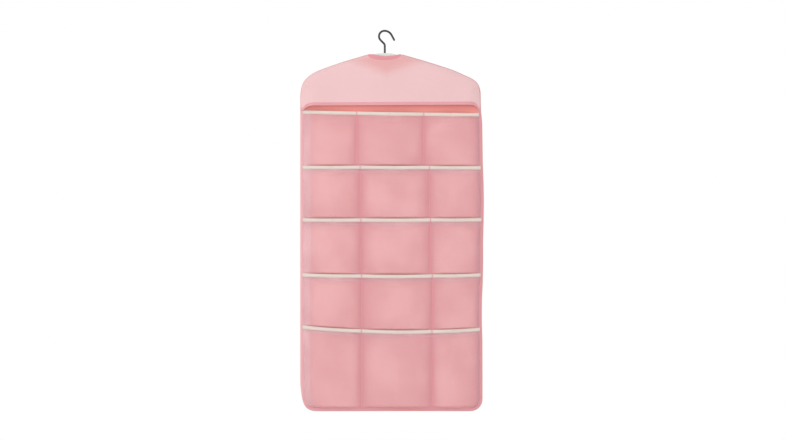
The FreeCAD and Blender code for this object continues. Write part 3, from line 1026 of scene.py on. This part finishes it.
def hanger_copy():
    """The hanger's shape as an obstacle for the cloth."""
    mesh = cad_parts["hanger"].data.copy()
    copy = bpy.data.objects.new("hanger_obstacle", mesh)
    bpy.context.scene.collection.objects.link(copy)
    even = copy.modifiers.new("even", "REMESH")
    even.mode = "VOXEL"
    even.voxel_size = 2.5 * MM
    shown = copy.evaluated_get(bpy.context.evaluated_depsgraph_get())
    copy.data = bpy.data.meshes.new_from_object(shown)
    copy.modifiers.clear()
    return copy


def hanger_cover(clear, slope, reach=7):
    """The furthest back that cloth can be near the hanger: a map of y, with its x and z steps."""
    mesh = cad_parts["hanger"].data
    faces = [tuple(p.vertices) for p in mesh.polygons]
    tree = BVHTree.FromPolygons([v.co.copy() for v in mesh.vertices], faces)
    low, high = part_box("hanger")
    x = np.arange(low[0] - reach * MM, high[0] + reach * MM, MM)
    z = np.arange(low[2] - reach * MM, high[2] + reach * MM, MM)
    front = np.ones((len(z), len(x)))
    for i, j in np.ndindex(front.shape):
        hit = tree.ray_cast(Vector((x[j], -1.0, z[i])), Vector((0, 1, 0)))
        if hit[0] is not None:
            front[i, j] = hit[0].y - clear
    pad = np.pad(front, reach, constant_values=1.0)
    cover = front.copy()
    for i, j in np.ndindex((2 * reach + 1, 2 * reach + 1)):
        away = math.hypot(i - reach, j - reach) * MM
        near = pad[i:i + len(z), j:j + len(x)] + slope * away
        cover = np.minimum(cover, near)
    return x, z, cover


def in_front(grid, clear, slope):
    """The sheet drawn smoothly over the hanger, its seamed top edge left in place."""
    x, z, cover = hanger_cover(clear, slope)
    i = np.clip((grid[..., 2] - z[0]) / MM, 0, len(z) - 1.001)
    j = np.clip((grid[..., 0] - x[0]) / MM, 0, len(x) - 1.001)
    a, b = i.astype(int), j.astype(int)
    s, t = i - a, j - b
    limit = (cover[a, b] * (1 - s) * (1 - t) + cover[a + 1, b] * s * (1 - t)
             + cover[a, b + 1] * (1 - s) * t + cover[a + 1, b + 1] * s * t)
    out = grid.copy()
    out[1:, :, 1] = np.minimum(grid[1:, :, 1], limit[1:])
    return out


def path_lengths(grid, axis):
    return np.linalg.norm(np.diff(grid, axis=axis), axis=2)


def flat_coordinates(grid):
    """Each point's distance along its row and its column: the place on the flat cut."""
    along = path_lengths(grid, 1)
    u = np.concatenate([np.zeros((len(grid), 1)), np.cumsum(along, axis=1)], axis=1)
    u -= u[:, u.shape[1] // 2][:, None]
    down = path_lengths(grid, 0)
    v = np.concatenate([np.zeros((1, grid.shape[1])), np.cumsum(down, axis=0)], axis=0)
    return np.stack([u, v - v[-1]], axis=-1)


def grid_area(grid):
    one = grid[1:, 1:] - grid[:-1, :-1]
    two = grid[1:, :-1] - grid[:-1, 1:]
    return float(np.linalg.norm(np.cross(one, two), axis=2).sum() / 2)


def yoke_grid():
    start, cut, pins = yoke_shape()
    shape = start.shape
    points = simulated(
        "yoke_cloth",
        start.reshape(-1, 3),
        cut.reshape(-1, 3),
        grid_faces(*shape[:2]),
        pins.ravel(),
        YOKE_GRAVITY,
        YOKE_FRAMES,
        obstacles=[hanger_copy()],
        bending=2.0,
        weight=0.12,
    ).reshape(shape)
    x = start[..., 0]
    kept = np.minimum(x - x.min(), x.max() - x)
    kept = np.clip((kept - DRAPE_MARGIN) / DRAPE_FADE, 0, 1)[..., None]
    kept = DRAPE_KEPT * kept ** 2 * (3 - 2 * kept)
    points = start + kept * (points - start)
    share = np.linspace(0, 1, len(points))[:, None] ** 2
    points[..., 2] += share * (start[-1, :, 2] - points[-1, :, 2])
    points[..., 1] = np.clip(points[..., 1], YOKE_FRONT, YOKE_SEAM)
    return in_front(finer(points), 0.9 * MM, 2.0), grid_area(cut)


def surface_of(grid):
    """A function that finds the sheet's front at x and z."""
    points = [tuple(p) for p in grid.reshape(-1, 3)]
    tree = BVHTree.FromPolygons(points, grid_faces(*grid.shape[:2]))

    def at(x, z):
        hit = tree.ray_cast(Vector((x, -1.0, z)), Vector((0, 1, 0)))
        return hit[0].y if hit[0] is not None else YOKE_PLANE

    return at


def facing(name, front_at, sign, dip):
    """The neck's facing tape: a crescent on the sleeve, stitched along its lower edge. Its deep pink
    is partly the tape's own and partly painted shade of the curved neck opening.
    """
    x = np.linspace(-NECK_CORNER + 1.0 * MM, NECK_CORNER - 2.0 * MM, 73)
    middle = (x[0] + x[-1]) / 2
    bowl = 1 - ((x - middle) / (x[-1] - middle)) ** 2
    hollow = np.clip(1 - ((x - NECK_MIDDLE) / NECK_HALF) ** 2, 0, 1)
    top = TOP_Z + 0.4 * MM - (NECK_DIP * hollow if dip else 0)
    low = TOP_Z + 0.2 * MM - FACING_DEPTH * np.clip(bowl, 0, 1) ** 0.45
    low = np.minimum(low, top - 0.6 * MM)
    down = np.linspace(0, 1, 15)[:, None]
    z = top + down * (low - top)
    grid_x = np.repeat(x[None, :], len(down), axis=0)
    y = np.vectorize(front_at)(grid_x, z) + sign * 0.35 * MM
    grid = np.stack([grid_x, y, z], axis=-1)
    piece = sheet_piece(f"{name}_tape", grid, flat_coordinates(grid))
    thickened(piece, 0.6 * MM)
    dressed(piece, "facing")
    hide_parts(name)
    inset = np.clip(1.4 * MM / (top - low), 0, 0.5)[None, :]
    row = top + (1 - inset[0]) * (low - top)
    front = np.array([front_at(a, b) for a, b in zip(x, row)])
    line = np.stack([x, front + sign * 0.75 * MM, row], axis=1)
    out = np.tile([0.0, float(sign), 0.0], (len(line), 1))
    sewn = stitches(f"{name}_stitch", [thread_points(line[4:-4], out[4:-4])])
    dressed(sewn, "stitching")
    return [piece, sewn]


def yoke():
    grid, area = yoke_grid()
    piece = sheet_piece("yoke_cloth", grid, flat_coordinates(grid))
    thickened(piece, CLOTH_THICK)
    dressed(piece, "yoke")
    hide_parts("yoke_front")
    edge = grid[-1]
    up = unit(grid[-4] - edge)
    ahead = unit(np.gradient(edge, axis=0))
    out = unit(np.cross(ahead, up))
    out *= -np.sign(out[:, 1:2])
    profile = tape_profile(HEM_HALF, 0.0, HEM_TAPE)
    band = swept("hem_band", edge, out, -up, profile - np.array([0, HEM_TAPE]))
    dressed(band, "hem")
    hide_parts("yoke_hem")
    runs = both_faces(edge + up * (HEM_TAPE - 1.1 * MM), out, HEM_HALF)
    sewn = dressed(stitches("yoke_hem_stitch", runs), "stitching")
    parts = facing("neck_facing_front", surface_of(grid), -1, True)


# ---------------------------------------------------------------- column seams and bar tacks


def back_stitches():
    """The seams' stitching where it comes through the lining to the back."""
    level = LINING_FRONT + 0.85 * MM
    runs = []
    for row, mouth in enumerate(MOUTHS, start=1):
        for side in (1, 2):
            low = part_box(f"column_seam_{row}_{side}")[0]
            x = seam_x(row, side)
            z = np.linspace(low[2], float(mouth(x)), 60)
            runs.append(np.stack([np.full_like(z, x), np.full_like(z, level), z], axis=1))
        if row > 1:
            x = np.linspace(INNER_LEFT(mouth(0)), INNER_RIGHT(mouth(0)), 160)
            runs.append(np.stack([x, np.full_like(x, level), mouth(x) - 6 * MM], axis=1))
    sewn = [thread_points(hung(run), np.tile([0.0, 1.0, 0.0], (len(run), 1))) for run in runs]
    return dressed(stitches("back_stitching", sewn), "stitching")


def column_seams():
    turn = np.linspace(0, 2 * math.pi, 14, endpoint=False)
    profile = np.stack([1.0 * MM * np.cos(turn), 0.3 * MM * np.sin(turn)], axis=1)
    tacks = []
    for row in range(1, ROWS + 1):
        for side in (1, 2):
            node = f"column_seam_{row}_{side}"
            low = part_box(node)[0]
            x = seam_x(row, side)
            mouth = float(MOUTHS[row - 1](x))
            z = np.linspace(low[2], mouth - MOUTH_TAPE + 1 * MM, 60)
            wander = 0.25 * MM * np.sin(61.0 * z + row + 2.0 * side)
            line = hung(np.stack([x + wander, np.full_like(z, SEAM_PLANE - 0.2 * MM), z], axis=1))
            across = np.tile([1.0, 0.0, 0.0], (len(z), 1))
            out = np.tile([0.0, -1.0, 0.0], (len(z), 1))
            strip = dressed(swept(f"{node}_strip", line, across, out, profile), "stitching")
            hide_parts(node)
            runs = [
                thread_points(line + out * 0.3 * MM + across * off, out)
                for off in (-0.5 * MM, 0.5 * MM)
            ]
            dressed(stitches(f"column_stitch_{row}_{side}", runs), "stitching")
            count = 15
            height = np.linspace(mouth + 1.2 * MM, mouth - MOUTH_TAPE - 1.8 * MM, count)
            lean = 0.25 * MM * (-1.0) ** np.arange(count)
            level = SEAM_PLANE - TAPE_HALF - 0.15 * MM
            middle = hung(np.stack([x + lean, np.full(count, level), height], axis=1))
            ways = unit(np.tile([1.0, 0.0, 0.12], (count, 1)))
            tacks.append((middle, ways, np.tile([0.0, -1.0, 0.0], (count, 1))))
    threads = stitches("bar_tack_thread", tacks, length=2.4 * MM, radius=0.36 * MM)
    piece = dressed(threads, "stitching")
    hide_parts("bar_tacks")


# ---------------------------------------------------------------- camera, light and stage


def light(name, place, target, size, watts):
    data = bpy.data.lights.new(name, "AREA")
    data.shape = "DISK"
    data.size = size
    data.energy = watts
    lamp = bpy.data.objects.new(name, data)
    lamp.location = place
    lamp.rotation_euler = (Vector(target) - Vector(place)).to_track_quat("-Z", "Y").to_euler()
    bpy.context.scene.collection.objects.link(lamp)


def studio():
    scene = bpy.context.scene
    scene.view_settings.view_transform = "Standard"
    world = bpy.data.worlds.new("studio")
    world.use_nodes = True
    world.node_tree.nodes["Background"].inputs["Color"].default_value = (1, 1, 1, 1)
    world.node_tree.nodes["Background"].inputs["Strength"].default_value = 1.0
    scene.world = world
    middle = (0.018, 0.0, -0.436)
    light("key", (-1.15, -1.6, -0.05), middle, 1.1, 7.2)
    light("fill", (2.2, -2.4, 0.1), middle, 2.2, 3)
    light("top", (-0.3, -1.2, 1.3), middle, 0.9, 3)
    light("back", (0.9, 2.4, 0.6), middle, 1.6, 9)
    turn = np.linspace(0, 2 * math.pi, 73)
    rings = (0.02, 0.5, 1.0, FLOOR_R)
    grid = np.array([[(r * math.sin(t), r * math.cos(t), FLOOR_Z) for t in turn] for r in rings])
    floor = sheet_piece("studio_floor", grid, grid[:, :, :2])
    material, _, bsdf = shader("pale_floor")
    bsdf.inputs["Base Color"].default_value = (0.92, 0.92, 0.92, 1)
    bsdf.inputs["Roughness"].default_value = 0.95
    floor.data.materials.append(material)
    view = bpy.data.cameras.new("front_view")
    view.lens = VIEW_LENS
    view.sensor_width = 36.0
    view.clip_end = 50
    camera = bpy.data.objects.new("front_view", view)
    camera.location = (VIEW_X, -VIEW_DISTANCE, VIEW_Z)
    camera.rotation_euler = (math.pi / 2, 0, 0)
    scene.collection.objects.link(camera)
    scene.camera = camera


def cad_materials():
    for node, slot in (("hook", "steel"), ("hook_washer", "steel"), ("hanger", "white_plastic")):
        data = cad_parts[node].data
        data.materials.clear()
        data.materials.append(MATERIALS[slot])


studio()
cad_materials()
neck_back = facing("neck_facing_back", lambda x, z: LINING_FRONT + 0.8 * MM, 1, False)
lining(edges() + neck_back + [back_stitches()])
yoke()
pocket_rows()
column_seams()
